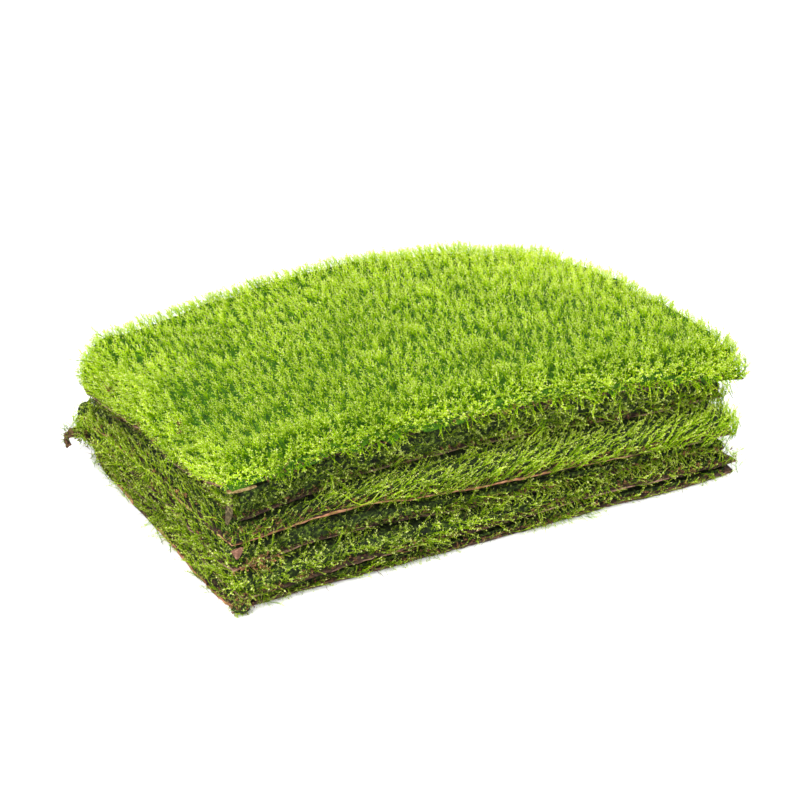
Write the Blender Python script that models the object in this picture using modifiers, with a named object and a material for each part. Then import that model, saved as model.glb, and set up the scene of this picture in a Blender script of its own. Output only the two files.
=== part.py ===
"""Moss clump: six sheets of living moss lying flat on each other.

Metres, +Z up. The long side runs along X, the front faces -Y, and the origin is on the ground
under the middle of the block. Each sheet is a layer of moss on a thin brown mat of roots and
soil. Sheets are counted from the top down. A few bits of leaf, bark and root stick to the sides.
"""
import math

import bmesh
import bpy
from mathutils import Vector, noise

MM = 0.001

# Driving sizes
LENGTH = 300 * MM
DEPTH = 197 * MM
MAT_THICKNESS = 1.6 * MM
MAT_INSET = 2.0 * MM
TOP_MOSS_HEIGHT = 20 * MM
GAP = 0.3 * MM

# Each sheet is modelled on a grid of cells: a narrow cell round the edge, wide ones inside it
INNER_CELLS_X = 9
INNER_CELLS_Y = 6
EDGE_CELL = 14 * MM
CORNER_ROUNDING = 0.25

# How rough the moss is
RIM_LUMP_SIZE = 13 * MM
RIM_LUMP_DEPTH = 1.6 * MM
RIM_SHOULDER = 2.0 * MM
RIM_SHOULDER_SHARE = 1 / 3
RIM_NOTCH = 0.4 * MM
TOP_SHOULDER = 8 * MM
TOP_LUMP_SIZE = 24 * MM
TOP_LUMP_HEIGHT = 2.2 * MM
FINE_LUMP_SHARE = 0.5
OUTLINE_WAVE_SIZE = 45 * MM
OUTLINE_WAVE_DEPTH = 1.6 * MM

# For each sheet, top one first, all in mm.
# underside: height of the sheet's lower face at the front, across the middle and at the back,
#   each from left to right.
# reach: how far the moss stands past the nominal outline at the left, right, front and back.
# turn: how far the sheet's edge is turned on the stack, in degrees.
# swells: humps and sags of the lower face, as x, y, radius and height.
# bulge: how far the side of the moss swells out at half its height.
SHEETS = (
    {
        "underside": ((68, 73, 57), (54, 75, 57), (43, 66, 42)),
        "reach": (3, 4, 2, 0),
        "turn": 0,
        "swells": ((-150, -45, 30, -4), (-150, 12, 30, 3)),
        "bulge": 2.0,
    },
    {
        "underside": ((45, 52, 43), (44, 54, 44), (31, 47, 32)),
        "reach": (-2, -3, -7, -1),
        "turn": 0.8,
        "swells": ((-70, -98, 45, 3), (85, -98, 45, -5)),
        "bulge": 0.5,
    },
    {
        "underside": ((37, 33, 24), (34, 35, 26), (20, 31, 21)),
        "reach": (4, 0, 1, 3),
        "turn": 0,
        "swells": ((-90, -98, 42, 6), (-150, 52, 35, 3)),
        "bulge": 2.5,
    },
    {
        "underside": ((22, 20, 13), (25, 20, 15), (11, 19, 13)),
        "reach": (3, -4, -3, 3),
        "turn": 0.6,
        "swells": ((-80, -98, 40, 4),),
        "bulge": 1.0,
    },
    {
        "underside": ((6, 8, 6), (10, 9, 7), (6, 9, 6)),
        "reach": (-1, 2, 0, 1),
        "turn": 0.3,
        "swells": ((-78, -98, 35, 3), (62, -98, 30, 3)),
        "bulge": 1.0,
    },
    {
        "underside": ((0, 0, 0), (0, 0, 0), (0, 0, 0)),
        "reach": (-1, 3, -3, 1),
        "turn": -0.5,
        "swells": (),
        "bulge": 0.5,
    },
)

# Bits that stick to the sides: length, width and thickness in mm, how far the middle is cupped,
# where the middle lies in mm, and how it is turned in degrees
DEAD_LEAF = {
    "size": (6.5, 8.5, 0.5),
    "cup": 0.8,
    "place": (-149.5, -99, 33.4),
    "turn": (-80, 0, 6),
}
BARK_FLAKE = {
    "size": (15, 6.5, 0.7),
    "cup": -1.4,
    "place": (-149.6, -89, 52),
    "turn": (84, 8, -84),
}
BARK_STRIP = {
    "size": (15, 4.2, 0.7),
    "cup": -0.8,
    "place": (-146, -98.5, 65.8),
    "turn": (0, 65, -92),
}
CHIP_CELLS_ACROSS = 4
CHIP_CELLS_ALONG = 7
CUP_LENGTHWISE = 0.6
LEAF_TIP_WIDTH = 0.12
FLAKE_END_WIDTH = 0.25
STRIP_END_WIDTH = 0.3

# The root curl: an arc in an upright plane, from CURL_START to CURL_END degrees, after a straight run
CURL_CENTRE = (-157 * MM, 99 * MM, 10 * MM)
CURL_RADIUS = 4.5 * MM
CURL_THICKNESS = 5 * MM
CURL_RUN = 3.5 * MM
CURL_START = 90
CURL_END = 215
CURL_POINTS = 9
CURL_KNOTS = 7
CURL_KNOT_RISE = 0.25
CURL_TAPER = 0.25
CURL_BASE = 0.85

# Colours, roughness
FRESH_MOSS = ((0.26, 0.47, 0.05), 0.8)
SHADED_MOSS = ((0.12, 0.24, 0.04), 0.85)
ROOT_BROWN = ((0.13, 0.07, 0.035), 0.95)
LEAF_BROWN = ((0.36, 0.20, 0.13), 0.7)
BARK_GREY = ((0.19, 0.17, 0.10), 0.9)
BARK_TAN = ((0.40, 0.28, 0.15), 0.85)


def clear_scene():
    for thing in list(bpy.data.objects):
        bpy.data.objects.remove(thing, do_unlink=True)


def make_material(name, look):
    colour, roughness = look
    material = bpy.data.materials.new(name)
    material.use_nodes = True
    shader = material.node_tree.nodes["Principled BSDF"]
    shader.inputs["Base Color"].default_value = (*colour, 1.0)
    shader.inputs["Roughness"].default_value = roughness
    shader.inputs["Metallic"].default_value = 0.0
    return material


# Shape of the sheets


def parabola(low, middle, high, t):
    """The value at t, from -1 to 1, of the parabola through three values at -1, 0 and 1."""
    return middle + t * (high - low) / 2 + t * t * ((high + low) / 2 - middle)


def underside_height(sheet, x, y):
    """Height of a sheet's lower face above the ground."""
    across = 2 * x / LENGTH
    along = 2 * y / DEPTH
    rows = [parabola(*row, across) for row in sheet["underside"]]
    height = parabola(*rows, along)
    for centre_x, centre_y, radius, rise in sheet["swells"]:
        away = math.hypot(x / MM - centre_x, y / MM - centre_y) / radius
        height += rise * math.exp(-away * away)
    return height * MM


def grid_lines(half, low_reach, high_reach, inner_cells):
    """Places of the grid's lines along one axis. The inner ones are the same in every sheet."""
    inner_half = half - EDGE_CELL
    step = 2 * inner_half / inner_cells
    inner = [-inner_half + step * index for index in range(inner_cells + 1)]
    return [-half - low_reach, *inner, half + high_reach]


def between(values, place):
    """The value at a place along a list, straight between its entries."""
    index = min(int(place), len(values) - 2)
    part = place - index
    return values[index] * (1 - part) + values[index + 1] * part


def on_facets(heights, u, v):
    """Height at a grid place. Each cell is two flat triangles that share its rising diagonal."""
    i = min(int(u), len(heights) - 2)
    j = min(int(v), len(heights[0]) - 2)
    du = u - i
    dv = v - j
    low = heights[i][j]
    high = heights[i + 1][j + 1]
    if du >= dv:
        side = heights[i + 1][j]
        return low + du * (side - low) + dv * (high - side)
    side = heights[i][j + 1]
    return low + dv * (side - low) + du * (high - side)


class Outline:
    """Plan of one layer: where each grid place lies, with rounded corners and a wavy edge."""

    def __init__(self, sheet, inset, seed):
        left, right, front, back = [reach * MM - inset for reach in sheet["reach"]]
        self.xs = grid_lines(LENGTH / 2, left, right, INNER_CELLS_X)
        self.ys = grid_lines(DEPTH / 2, front, back, INNER_CELLS_Y)
        self.turn = math.radians(sheet["turn"])
        self.seed = seed

    def place(self, u, v):
        x = between(self.xs, u)
        y = between(self.ys, v)
        x, y = self.round_corner(x, y)
        outward = self.outward(u, v)
        if not outward.length:
            return Vector((x, y))
        wave_at = Vector((x / OUTLINE_WAVE_SIZE, y / OUTLINE_WAVE_SIZE, self.seed))
        wave = OUTLINE_WAVE_DEPTH * noise.noise(wave_at)
        turned = Vector((x - self.turn * y, y + self.turn * x))
        return turned + outward * wave

    def round_corner(self, x, y):
        """Draw a corner cell in from a square towards a quarter disc."""
        centre_x = math.copysign(LENGTH / 2 - EDGE_CELL, x)
        centre_y = math.copysign(DEPTH / 2 - EDGE_CELL, y)
        reach_x = (self.xs[-1] if centre_x > 0 else self.xs[0]) - centre_x
        reach_y = (self.ys[-1] if centre_y > 0 else self.ys[0]) - centre_y
        a = (x - centre_x) / reach_x
        b = (y - centre_y) / reach_y
        if a <= 0 or b <= 0:
            return x, y
        shrink = 1 - CORNER_ROUNDING * (1 - max(a, b) / math.hypot(a, b))
        return centre_x + reach_x * a * shrink, centre_y + reach_y * b * shrink

    def outward(self, u, v):
        """The way out of the layer at its rim, and zero inside it."""
        last_u = len(self.xs) - 1
        last_v = len(self.ys) - 1
        way = Vector(((u == last_u) - (u == 0), (v == last_v) - (v == 0)))
        return way.normalized() if way.length else way

    def knot_heights(self, height_at):
        """Heights at the grid's own corners, from a function of x and y."""
        return [
            [height_at(*self.place(i, j)) for j in range(len(self.ys))]
            for i in range(len(self.xs))
        ]

    def edge_distance(self, u, v):
        """How far inside the rim a grid place is."""
        x = between(self.xs, u)
        y = between(self.ys, v)
        return min(x - self.xs[0], self.xs[-1] - x, y - self.ys[0], self.ys[-1] - y)


def unit_slab(outline, cuts, wanted):
    """A slab in grid places: u and v along the grid's lines, and 0 to 1 from bottom to top.

    The edges that the function wanted picks are cut further.
    """
    cells_u = len(outline.xs) - 1
    cells_v = len(outline.ys) - 1
    bpy.ops.mesh.primitive_grid_add(x_subdivisions=cells_u, y_subdivisions=cells_v, size=2)
    thing = bpy.context.active_object
    mesh = bmesh.new()
    mesh.from_mesh(thing.data)
    for vert in mesh.verts:
        vert.co.x = round((vert.co.x + 1) / 2 * cells_u)
        vert.co.y = round((vert.co.y + 1) / 2 * cells_v)
    bmesh.ops.reverse_faces(mesh, faces=mesh.faces)
    top = bmesh.ops.extrude_face_region(mesh, geom=mesh.faces[:], use_keep_orig=True)
    for part in top["geom"]:
        if isinstance(part, bmesh.types.BMVert):
            part.co.z = 1
    bmesh.ops.recalc_face_normals(mesh, faces=mesh.faces)
    edges = [edge for edge in mesh.edges if wanted(edge)]
    bmesh.ops.subdivide_edges(mesh, edges=edges, cuts=cuts, use_grid_fill=True)
    split_quads(mesh)
    mesh.to_mesh(thing.data)
    mesh.free()
    return thing


def no_edge(edge):
    return False


def side_edge(edge):
    """Whether an edge belongs to an upright face."""
    return any(len({vert.co.z for vert in face.verts}) > 1 for face in edge.link_faces)


def top_or_side_edge(edge):
    return side_edge(edge) or all(vert.co.z == 1 for vert in edge.verts)


def split_quads(mesh):
    """Cut every face into triangles, each whole cell along its rising diagonal."""
    for face in [face for face in mesh.faces if len(face.verts) == 4]:
        ring = list(face.verts)
        sums = [sum(vert.co) for vert in ring]
        lowest = sums.index(min(sums))
        highest = sums.index(max(sums))
        if abs(lowest - highest) == 2:
            bmesh.utils.face_split(face, ring[lowest], ring[highest])
    bmesh.ops.triangulate(mesh, faces=[face for face in mesh.faces if len(face.verts) > 3])


def finish_node(thing, name, material, collection):
    thing.name = name
    thing.data.name = name
    thing.data.materials.clear()
    thing.data.materials.append(material)
    for other in list(thing.users_collection):
        other.objects.unlink(thing)
    collection.objects.link(thing)
    return thing


def root_mat(sheet, number, material, collection):
    """The thin brown mat under a sheet's moss."""
    outline = Outline(sheet, MAT_INSET, number)
    lower = outline.knot_heights(lambda x, y: underside_height(sheet, x, y))
    thing = unit_slab(outline, 0, no_edge)
    for vert in thing.data.vertices:
        u, v, t = vert.co
        x, y = outline.place(u, v)
        vert.co = (x, y, on_facets(lower, u, v) + t * MAT_THICKNESS)
    return finish_node(thing, f"root_mat_{number}", material, collection)


def moss_layer(sheet, cover, number, material, collection):
    """The moss of one sheet, up to the sheet that covers it."""
    outline = Outline(sheet, 0, number)
    floor = MAT_THICKNESS + GAP
    lower = outline.knot_heights(lambda x, y: underside_height(sheet, x, y) + floor)
    upper = outline.knot_heights(lambda x, y: underside_height(cover, x, y) - GAP)
    thing = unit_slab(outline, 1, side_edge)
    for vert in thing.data.vertices:
        u, v, t = vert.co
        x, y = outline.place(u, v)
        low = on_facets(lower, u, v)
        high = on_facets(upper, u, v)
        outward = outline.outward(u, v)
        if outward.length:
            low += RIM_NOTCH
            high -= min(RIM_SHOULDER, (high - low) * RIM_SHOULDER_SHARE)
        z = low + t * (high - low)
        out = bulge_at(sheet, t) + rim_lump(x, y, z)
        vert.co = (x + outward.x * out, y + outward.y * out, z)
    return finish_node(thing, f"moss_{number}", material, collection)


def bulge_at(sheet, t):
    return sheet["bulge"] * MM * math.sin(math.pi * t)


def rim_lump(x, y, z):
    """The tufts that make the rim uneven."""
    return RIM_LUMP_DEPTH * noise.noise(Vector((x, y, z)) / RIM_LUMP_SIZE)


def top_moss(sheet, material, collection):
    """The moss of the top sheet, with its rounded shoulder and soft lumps."""
    outline = Outline(sheet, 0, 1)
    floor = MAT_THICKNESS + GAP
    lower = outline.knot_heights(lambda x, y: underside_height(sheet, x, y) + floor)
    thing = unit_slab(outline, 2, top_or_side_edge)
    for vert in thing.data.vertices:
        u, v, t = vert.co
        x, y = outline.place(u, v)
        outward = outline.outward(u, v)
        low = on_facets(lower, u, v) + RIM_NOTCH * outward.length
        high = underside_height(sheet, x, y) + MAT_THICKNESS + TOP_MOSS_HEIGHT
        high += shoulder_drop(outline.edge_distance(u, v)) + top_lump(x, y)
        z = low + t * (high - low)
        out = bulge_at(sheet, t) + rim_lump(x, y, z)
        vert.co = (x + outward.x * out, y + outward.y * out, z)
    return finish_node(thing, "moss_1", material, collection)


def shoulder_drop(distance):
    """How much lower the top is near the rim, on a quarter circle."""
    left = max(TOP_SHOULDER - distance, 0)
    return math.sqrt(TOP_SHOULDER ** 2 - left ** 2) - TOP_SHOULDER


def top_lump(x, y):
    """How far the top stands above or below its even level: wide lumps with finer ones on them."""
    wide = noise.noise(Vector((x, y, 0)) / TOP_LUMP_SIZE)
    fine = noise.noise(Vector((x, y, TOP_LUMP_SIZE)) / (TOP_LUMP_SIZE / 2))
    return TOP_LUMP_HEIGHT * (wide + FINE_LUMP_SHARE * fine)


# Bits that stick to the sides


def leaf_width(along):
    """Share of the full width along the dead leaf: widest near its stalk, with a blunt tip."""
    near_stalk = min(1, 0.45 + 4 * along)
    towards_tip = (1 - along) ** 0.8
    return max(LEAF_TIP_WIDTH, near_stalk * towards_tip)


def flake_width(along):
    """Share of the full width along the bark flake: an oval with blunt ends."""
    return max(FLAKE_END_WIDTH, math.sin(math.pi * along) ** 0.7)


def strip_width(along):
    """Share of the full width along the bark strip: nearly even, narrower at both ends."""
    return max(STRIP_END_WIDTH, math.sin(math.pi * along) ** 0.4)


def chip(name, shape, width_at, material, collection):
    """A thin chip: a grid drawn in to an outline, cupped, and given a thickness."""
    length, width, thickness = [value * MM for value in shape["size"]]
    bpy.ops.mesh.primitive_grid_add(
        x_subdivisions=CHIP_CELLS_ACROSS, y_subdivisions=CHIP_CELLS_ALONG, size=2
    )
    thing = bpy.context.active_object
    for vert in thing.data.vertices:
        along = (vert.co.y + 1) / 2
        across = vert.co.x * width_at(along)
        rise = shape["cup"] * MM * (across * across + CUP_LENGTHWISE * vert.co.y ** 2)
        vert.co = (across * width / 2, vert.co.y * length / 2, rise)
    shell = thing.modifiers.new("thickness", "SOLIDIFY")
    shell.thickness = thickness
    shell.offset = 0
    thing.location = Vector(shape["place"]) * MM
    thing.rotation_euler = [math.radians(angle) for angle in shape["turn"]]
    return finish_node(thing, name, material, collection)


def root_curl(material, collection):
    """The torn end of root that runs out of the far left corner and curls down."""
    data = bpy.data.curves.new("root_curl", "CURVE")
    data.dimensions = "3D"
    data.bevel_depth = CURL_THICKNESS / 2
    data.bevel_resolution = 2
    data.use_fill_caps = True
    spline = data.splines.new("POLY")
    spline.points.add(CURL_POINTS)
    centre_x, centre_y, centre_z = CURL_CENTRE
    spline.points[0].co = (centre_x + CURL_RUN, centre_y, centre_z + CURL_RADIUS, 1)
    for index, point in enumerate(spline.points[1:]):
        part = index / (CURL_POINTS - 1)
        angle = math.radians(CURL_START + (CURL_END - CURL_START) * part)
        x = centre_x + CURL_RADIUS * math.cos(angle)
        z = centre_z + CURL_RADIUS * math.sin(angle)
        point.co = (x, centre_y, z, 1)
        point.radius = CURL_BASE + CURL_KNOT_RISE * math.sin(CURL_KNOTS * part) - CURL_TAPER * part
    thing = bpy.data.objects.new("root_curl", data)
    bpy.context.scene.collection.objects.link(thing)
    return finish_node(thing, "root_curl", material, collection)


def stand_on_origin(things):
    """Move the block sideways until the origin lies under the middle of its bounding box."""
    graph = bpy.context.evaluated_depsgraph_get()
    points = []
    for thing in things:
        shape = thing.evaluated_get(graph).to_mesh()
        points += [thing.matrix_world @ vert.co for vert in shape.vertices]
    middle_x = (min(point.x for point in points) + max(point.x for point in points)) / 2
    middle_y = (min(point.y for point in points) + max(point.y for point in points)) / 2
    for thing in things:
        thing.location -= Vector((middle_x, middle_y, 0))


def build():
    clear_scene()
    collection = bpy.data.collections.new("moss clump")
    bpy.context.scene.collection.children.link(collection)
    fresh = make_material("fresh moss", FRESH_MOSS)
    shaded = make_material("shaded moss", SHADED_MOSS)
    brown = make_material("root brown", ROOT_BROWN)
    top_moss(SHEETS[0], fresh, collection)
    for number, sheet in enumerate(SHEETS, 1):
        root_mat(sheet, number, brown, collection)
        if number > 1:
            moss_layer(sheet, SHEETS[number - 2], number, shaded, collection)
    leaf = make_material("dead leaf", LEAF_BROWN)
    bark = make_material("grey bark", BARK_GREY)
    tan = make_material("tan bark", BARK_TAN)
    chip("dead_leaf", DEAD_LEAF, leaf_width, leaf, collection)
    chip("bark_flake", BARK_FLAKE, flake_width, bark, collection)
    chip("bark_strip", BARK_STRIP, strip_width, tan, collection)
    root_curl(brown, collection)
    stand_on_origin(collection.objects)


build()
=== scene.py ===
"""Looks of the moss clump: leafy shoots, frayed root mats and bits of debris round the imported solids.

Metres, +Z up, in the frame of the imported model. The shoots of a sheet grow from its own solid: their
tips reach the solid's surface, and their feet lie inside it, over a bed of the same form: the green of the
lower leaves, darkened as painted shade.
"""

import math

import bmesh
import bpy
import numpy as np
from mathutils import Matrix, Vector, noise
from mathutils.bvhtree import BVHTree


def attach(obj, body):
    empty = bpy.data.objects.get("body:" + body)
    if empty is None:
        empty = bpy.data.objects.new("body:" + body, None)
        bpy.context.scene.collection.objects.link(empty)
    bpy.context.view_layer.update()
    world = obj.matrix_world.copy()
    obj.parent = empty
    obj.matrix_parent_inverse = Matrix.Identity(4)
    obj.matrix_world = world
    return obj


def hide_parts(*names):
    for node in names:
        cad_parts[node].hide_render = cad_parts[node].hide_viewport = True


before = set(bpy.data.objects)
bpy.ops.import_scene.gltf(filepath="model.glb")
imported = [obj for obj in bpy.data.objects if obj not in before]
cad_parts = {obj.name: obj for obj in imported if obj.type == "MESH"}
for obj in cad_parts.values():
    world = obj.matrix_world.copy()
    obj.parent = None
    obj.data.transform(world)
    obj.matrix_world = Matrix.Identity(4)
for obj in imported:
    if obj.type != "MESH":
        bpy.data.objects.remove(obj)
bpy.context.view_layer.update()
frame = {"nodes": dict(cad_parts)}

MM = 0.001
SHEETS = 6
SEED = 7
UV_NAME = "OFBake"
GOLDEN_TURN = math.radians(137.5)
SHOOT_LENGTH = 12 * MM
CLEARANCE = 1 * MM
WELD = 0.01 * MM
UP = np.array([0.0, 0.0, 1.0])
SIDEWAYS = np.array([1.0, 0.0, 0.0])

# Half sizes of the block's outline, and how square its corners are
HALF_X = 150 * MM
HALF_Y = 98 * MM
SQUARENESS = 9

# View: where the camera looks from, as the photograph does
VIEW_AZIMUTH = -29.1
VIEW_ELEVATION = 25.7
VIEW_DISTANCE = 1.185
VIEW_TARGET = (-0.0071, -0.0092, 0.045)
VIEW_RIGHT = np.array([math.cos(math.radians(VIEW_AZIMUTH)), math.sin(math.radians(VIEW_AZIMUTH)), 0])
LENS_MM = 99
SENSOR_MM = 36


# Numpy helpers


def unit(vectors):
    length = np.linalg.norm(vectors, axis=-1, keepdims=True)
    return vectors / np.maximum(length, 1e-9)


def frames_along(directions, spins):
    """For each direction, three axes with the third along it, turned about it by its spin."""
    helper = np.where(np.abs(directions[:, 2:3]) < 0.9, UP, SIDEWAYS)
    side = unit(np.cross(helper, directions))
    front = np.cross(directions, side)
    cos = np.cos(spins)[:, None]
    sin = np.sin(spins)[:, None]
    first = side * cos + front * sin
    second = -side * sin + front * cos
    return np.stack([first, second, directions], axis=1)


def field(points, size, seed):
    """Smooth noise from -1 to 1 at each point, with lumps of the given size."""
    shift = Vector((seed * 17.3, seed * 5.1, seed * 9.7))
    return np.array([noise.noise(Vector(point) / size + shift) for point in points])


def waves(points, table):
    """The sum of several fields. Each row of the table is a size of lumps in mm, a seed and a strength."""
    return sum(strength * field(points, size * MM, seed) for size, seed, strength in table)


def between(value, start, end):
    """0 up to start, 1 from end on, and rising evenly between them."""
    return np.clip((value - start) / (end - start), 0, 1)


def mix(pair, share):
    """From the first value of a pair at share 0 to the second at share 1."""
    first, second = pair
    return first + (second - first) * share


def jitter(rng, size, count):
    return rng.normal(0, size, (count, 3))


# Pieces


def add_object(name, data):
    """A new object in the scene."""
    thing = bpy.data.objects.new(name, data)
    bpy.context.scene.collection.objects.link(thing)
    return thing


def mesh_object(name, points, triangles, uvs):
    mesh = bpy.data.meshes.new(name)
    mesh.vertices.add(len(points))
    mesh.vertices.foreach_set("co", np.asarray(points, np.float32).ravel())
    mesh.loops.add(len(triangles) * 3)
    mesh.loops.foreach_set("vertex_index", np.asarray(triangles, np.int32).ravel())
    mesh.polygons.add(len(triangles))
    mesh.polygons.foreach_set("loop_start", np.arange(0, len(triangles) * 3, 3, dtype=np.int32))
    layer = mesh.uv_layers.new(name=UV_NAME)
    layer.data.foreach_set("uv", np.asarray(uvs, np.float32)[np.asarray(triangles).ravel()].ravel())
    mesh.update(calc_edges=True)
    return add_object(name, mesh)


def object_from(bm, name):
    mesh = bpy.data.meshes.new(name)
    bm.to_mesh(mesh)
    bm.free()
    return add_object(name, mesh)


def finish_piece(piece, materials, node):
    """Give a piece its material or materials and its body, and hide the solid of the node that it dresses.
    """
    for material in materials if isinstance(materials, tuple) else (materials,):
        piece.data.materials.append(material)
    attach(piece, "root")
    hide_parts(node.name)


# Templates of shoots. A template stands along +Z from its foot at the origin.
# Its map: u is a shift of tint, and v runs from 0 at the foot to 1 at the tip.

MAP_WIDTH = 0.012
MAP_LIMITS = (0.005, 0.995)
TINT_LIMITS = (0.02, 0.98)
V_TIP = 0.9
# Each leaf is paler at its tip than at its foot: a painted highlight on every leaf tip
LEAF_TIP_HIGHLIGHT = 0.22
LEAF_TINT_SPREAD = 0.14
PALE_LEAF_SHARE = 0.3
PALE_LEAF_SHIFT = 0.3
DARK_LEAF_SHIFT = -0.4 * PALE_LEAF_SHIFT
LEAF_BREADTH = 0.32
STEM_RADIUS = 0.15 * MM
FIBRE_RADIUS = 0.12 * MM

# Leaves along a stem and in the rosette at its tip: angles from the stem in degrees, and sizes
LEAF_SPREAD = (45, 85)
LEAF_SIZES = (0.75, 1.2)
LEAF_TAPER = 0.25
LAST_LEAF = 0.96
STAR_SPREAD = (25, 60)
STAR_SIZES = (0.8, 1.05)
STAR_PLACE = 0.97
STAR_LEAVES = 4

# Side branches: angles from the stem in degrees, sizes, and places on the stem
BRANCH_SPREAD = (38, 66)
BRANCH_SIZES = (0.8, 1.15)
BRANCH_TAPER = 0.6
BRANCH_BEND = 0.3
BRANCH_BARE = 0.15
BRANCH_LEAF = 0.92
BRANCH_STAR_LEAVES = 2
BRANCH_V_RISE = 0.25
LOWEST_BRANCH = 0.25
TOP_BRANCH = 0.88

# For each kind of shoot: count of templates, range of its bend, share that is bare, count of leaves,
# branches (count, leaves of each, length of the lowest in mm), leaf in mm, v of its lowest leaves
SHOOT_KINDS = {
    "plumes": (16, (0, 0.25), 0.35, 16, (9, 6, 3.3), 0.86, 0),
    "bushes": (16, (0, 0.25), 0.12, 18, (6, 6, 3), 0.88, 0),
    "curls": (16, (0.2, 0.8), 0.1, 18, (3, 5, 2.4), 0.88, 0),
    "strands": (16, (0, 0.45), 0.1, 32, (2, 6, 2.4), 0.82, 0.3),
    "droopers": (16, (0, 0.5), 0.1, 18, (0, 0, 0), 1, 0),
    "streamers": (8, (0.1, 0.6), 0.05, 34, (3, 5, 2), 0.62, 0),
}

# Sheets whose sides have other shoots than curls
SIDE_KINDS = {1: "bushes", 3: "strands"}

# Counts of templates, and of the dead leaves in a shred
SHRED_KINDS = 12
SHRED_LEAVES = 7
FIBRE_KINDS = 8


class Template:
    def __init__(self):
        self.points = []
        self.triangles = []
        self.uvs = []

    def add(self, points, triangles, uvs):
        base = len(self.points)
        self.points += [tuple(point) for point in points]
        self.uvs += [tuple(uv) for uv in uvs]
        self.triangles += [tuple(base + index for index in triangle) for triangle in triangles]

    def arrays(self):
        return np.array(self.points), np.array(self.triangles), np.array(self.uvs)


def add_leaf(template, foot, out, along, length, v, tint):
    """One pointed leaf from foot. out is the way it spreads, along the way that its stem runs."""
    side = unit(np.cross(out, along)) * length * LEAF_BREADTH
    uvs = [
        (tint - MAP_WIDTH, v - LEAF_TIP_HIGHLIGHT),
        (tint + MAP_WIDTH, v - LEAF_TIP_HIGHLIGHT),
        (tint, v + LEAF_TIP_HIGHLIGHT),
    ]
    template.add([foot - side, foot + side, foot + out * length], [(0, 1, 2)], uvs)


def across(way):
    """Two directions at right angles to way and to each other."""
    side = unit(np.cross(way, (0.31, 0.87, 0.38)))
    return side, np.cross(way, side)


def add_stem(template, stops, v_stops, radius):
    """A three-sided stem through its stops, down to a point at the last."""
    points = []
    uvs = []
    for index, stop in enumerate(stops[:-1]):
        side, other = across(unit(stops[index + 1] - stop))
        for turn in range(3):
            angle = turn * 2 * math.pi / 3
            points.append(stop + (math.cos(angle) * side + math.sin(angle) * other) * radius)
            uvs.append((MAP_WIDTH * (turn - 1), v_stops[index]))
    triangles = []
    for index in range(len(stops) - 2):
        for turn in range(3):
            here = index * 3 + turn
            beside = index * 3 + (turn + 1) % 3
            triangles += [(here, beside, beside + 3), (here, beside + 3, here + 3)]
    last = (len(stops) - 2) * 3
    points.append(stops[-1])
    uvs.append((0, v_stops[-1]))
    triangles += [(last + turn, last + (turn + 1) % 3, last + 3) for turn in range(3)]
    template.add(points, triangles, uvs)


def add_leaves(template, rng, path, bare, count, leaf, v_range, star):
    """Leaves in a spiral along path (a curve from 0 to 1), and a rosette of star leaves at its tip."""
    v_low, v_high = v_range
    spin = rng.uniform(0, 2 * math.pi)

    def leaf_at(part, angle, spread, size, v):
        along = unit(path(part + 0.02) - path(part - 0.02))
        side, other = across(along)
        radial = math.cos(angle) * side + math.sin(angle) * other
        out = math.cos(spread) * along + math.sin(spread) * radial
        shift = PALE_LEAF_SHIFT if rng.uniform() < PALE_LEAF_SHARE else DARK_LEAF_SHIFT
        add_leaf(template, path(part), out, along, size, v + shift, rng.normal(0, LEAF_TINT_SPREAD))

    for index in range(count):
        part = bare + (LAST_LEAF - bare) * (index + rng.uniform(0, 0.5)) / count
        spread = math.radians(rng.uniform(*LEAF_SPREAD))
        size = leaf * rng.uniform(*LEAF_SIZES) * (1.1 - LEAF_TAPER * part)
        leaf_at(part, spin + index * GOLDEN_TURN, spread, size, v_low + (v_high - v_low) * part)
    for index in range(star):
        angle = (index + rng.uniform(-0.2, 0.2)) * 2 * math.pi / star
        spread = math.radians(rng.uniform(*STAR_SPREAD))
        leaf_at(STAR_PLACE, spin + angle, spread, leaf * rng.uniform(*STAR_SIZES), v_high)


def curve(start, way, length, bend_way, bend):
    """A curve from start that sets out along way and bends over towards bend_way."""

    def path(part):
        return start + way * length * part + bend_way * bend * length * part * part

    return path


def shoot_template(rng, bend_range, bare, leaves, branches, leaf, v_foot):
    """A leafy shoot with side branches that shorten to its tip. It takes a row of SHOOT_KINDS."""
    template = Template()
    leaf = leaf * MM
    path = curve(np.zeros(3), UP, SHOOT_LENGTH, SIDEWAYS, rng.uniform(*bend_range))
    add_stem(template, [path(0), path(0.5), path(1)], [0, 0.5, V_TIP], STEM_RADIUS)
    add_leaves(template, rng, path, bare, leaves, leaf, (v_foot, V_TIP), STAR_LEAVES)
    count, branch_leaves, longest = branches
    lowest = max(bare, LOWEST_BRANCH)
    spin = rng.uniform(0, 2 * math.pi)
    for index in range(count):
        share = (index + rng.uniform(0.1, 0.9)) / count
        part = lowest + (TOP_BRANCH - lowest) * share
        angle = spin + index * GOLDEN_TURN
        radial = np.array([math.cos(angle), math.sin(angle), 0.0])
        spread = math.radians(rng.uniform(*BRANCH_SPREAD))
        way = math.cos(spread) * UP + math.sin(spread) * radial
        size = longest * MM * (1.05 - BRANCH_TAPER * share) * rng.uniform(*BRANCH_SIZES)
        branch = curve(path(part), way, size, UP, BRANCH_BEND)
        side = unit(np.cross(way, UP)) * STEM_RADIUS
        v_end = min(part + BRANCH_V_RISE, TOP_BRANCH)
        template.add([branch(0) - side, branch(0) + side, branch(1)], [(0, 1, 2)],
                     [(-MAP_WIDTH, part), (MAP_WIDTH, part), (0, v_end)])
        add_leaves(template, rng, branch, BRANCH_BARE, branch_leaves, leaf * BRANCH_LEAF, (part, v_end),
                   BRANCH_STAR_LEAVES)
    return template.arrays()


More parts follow.
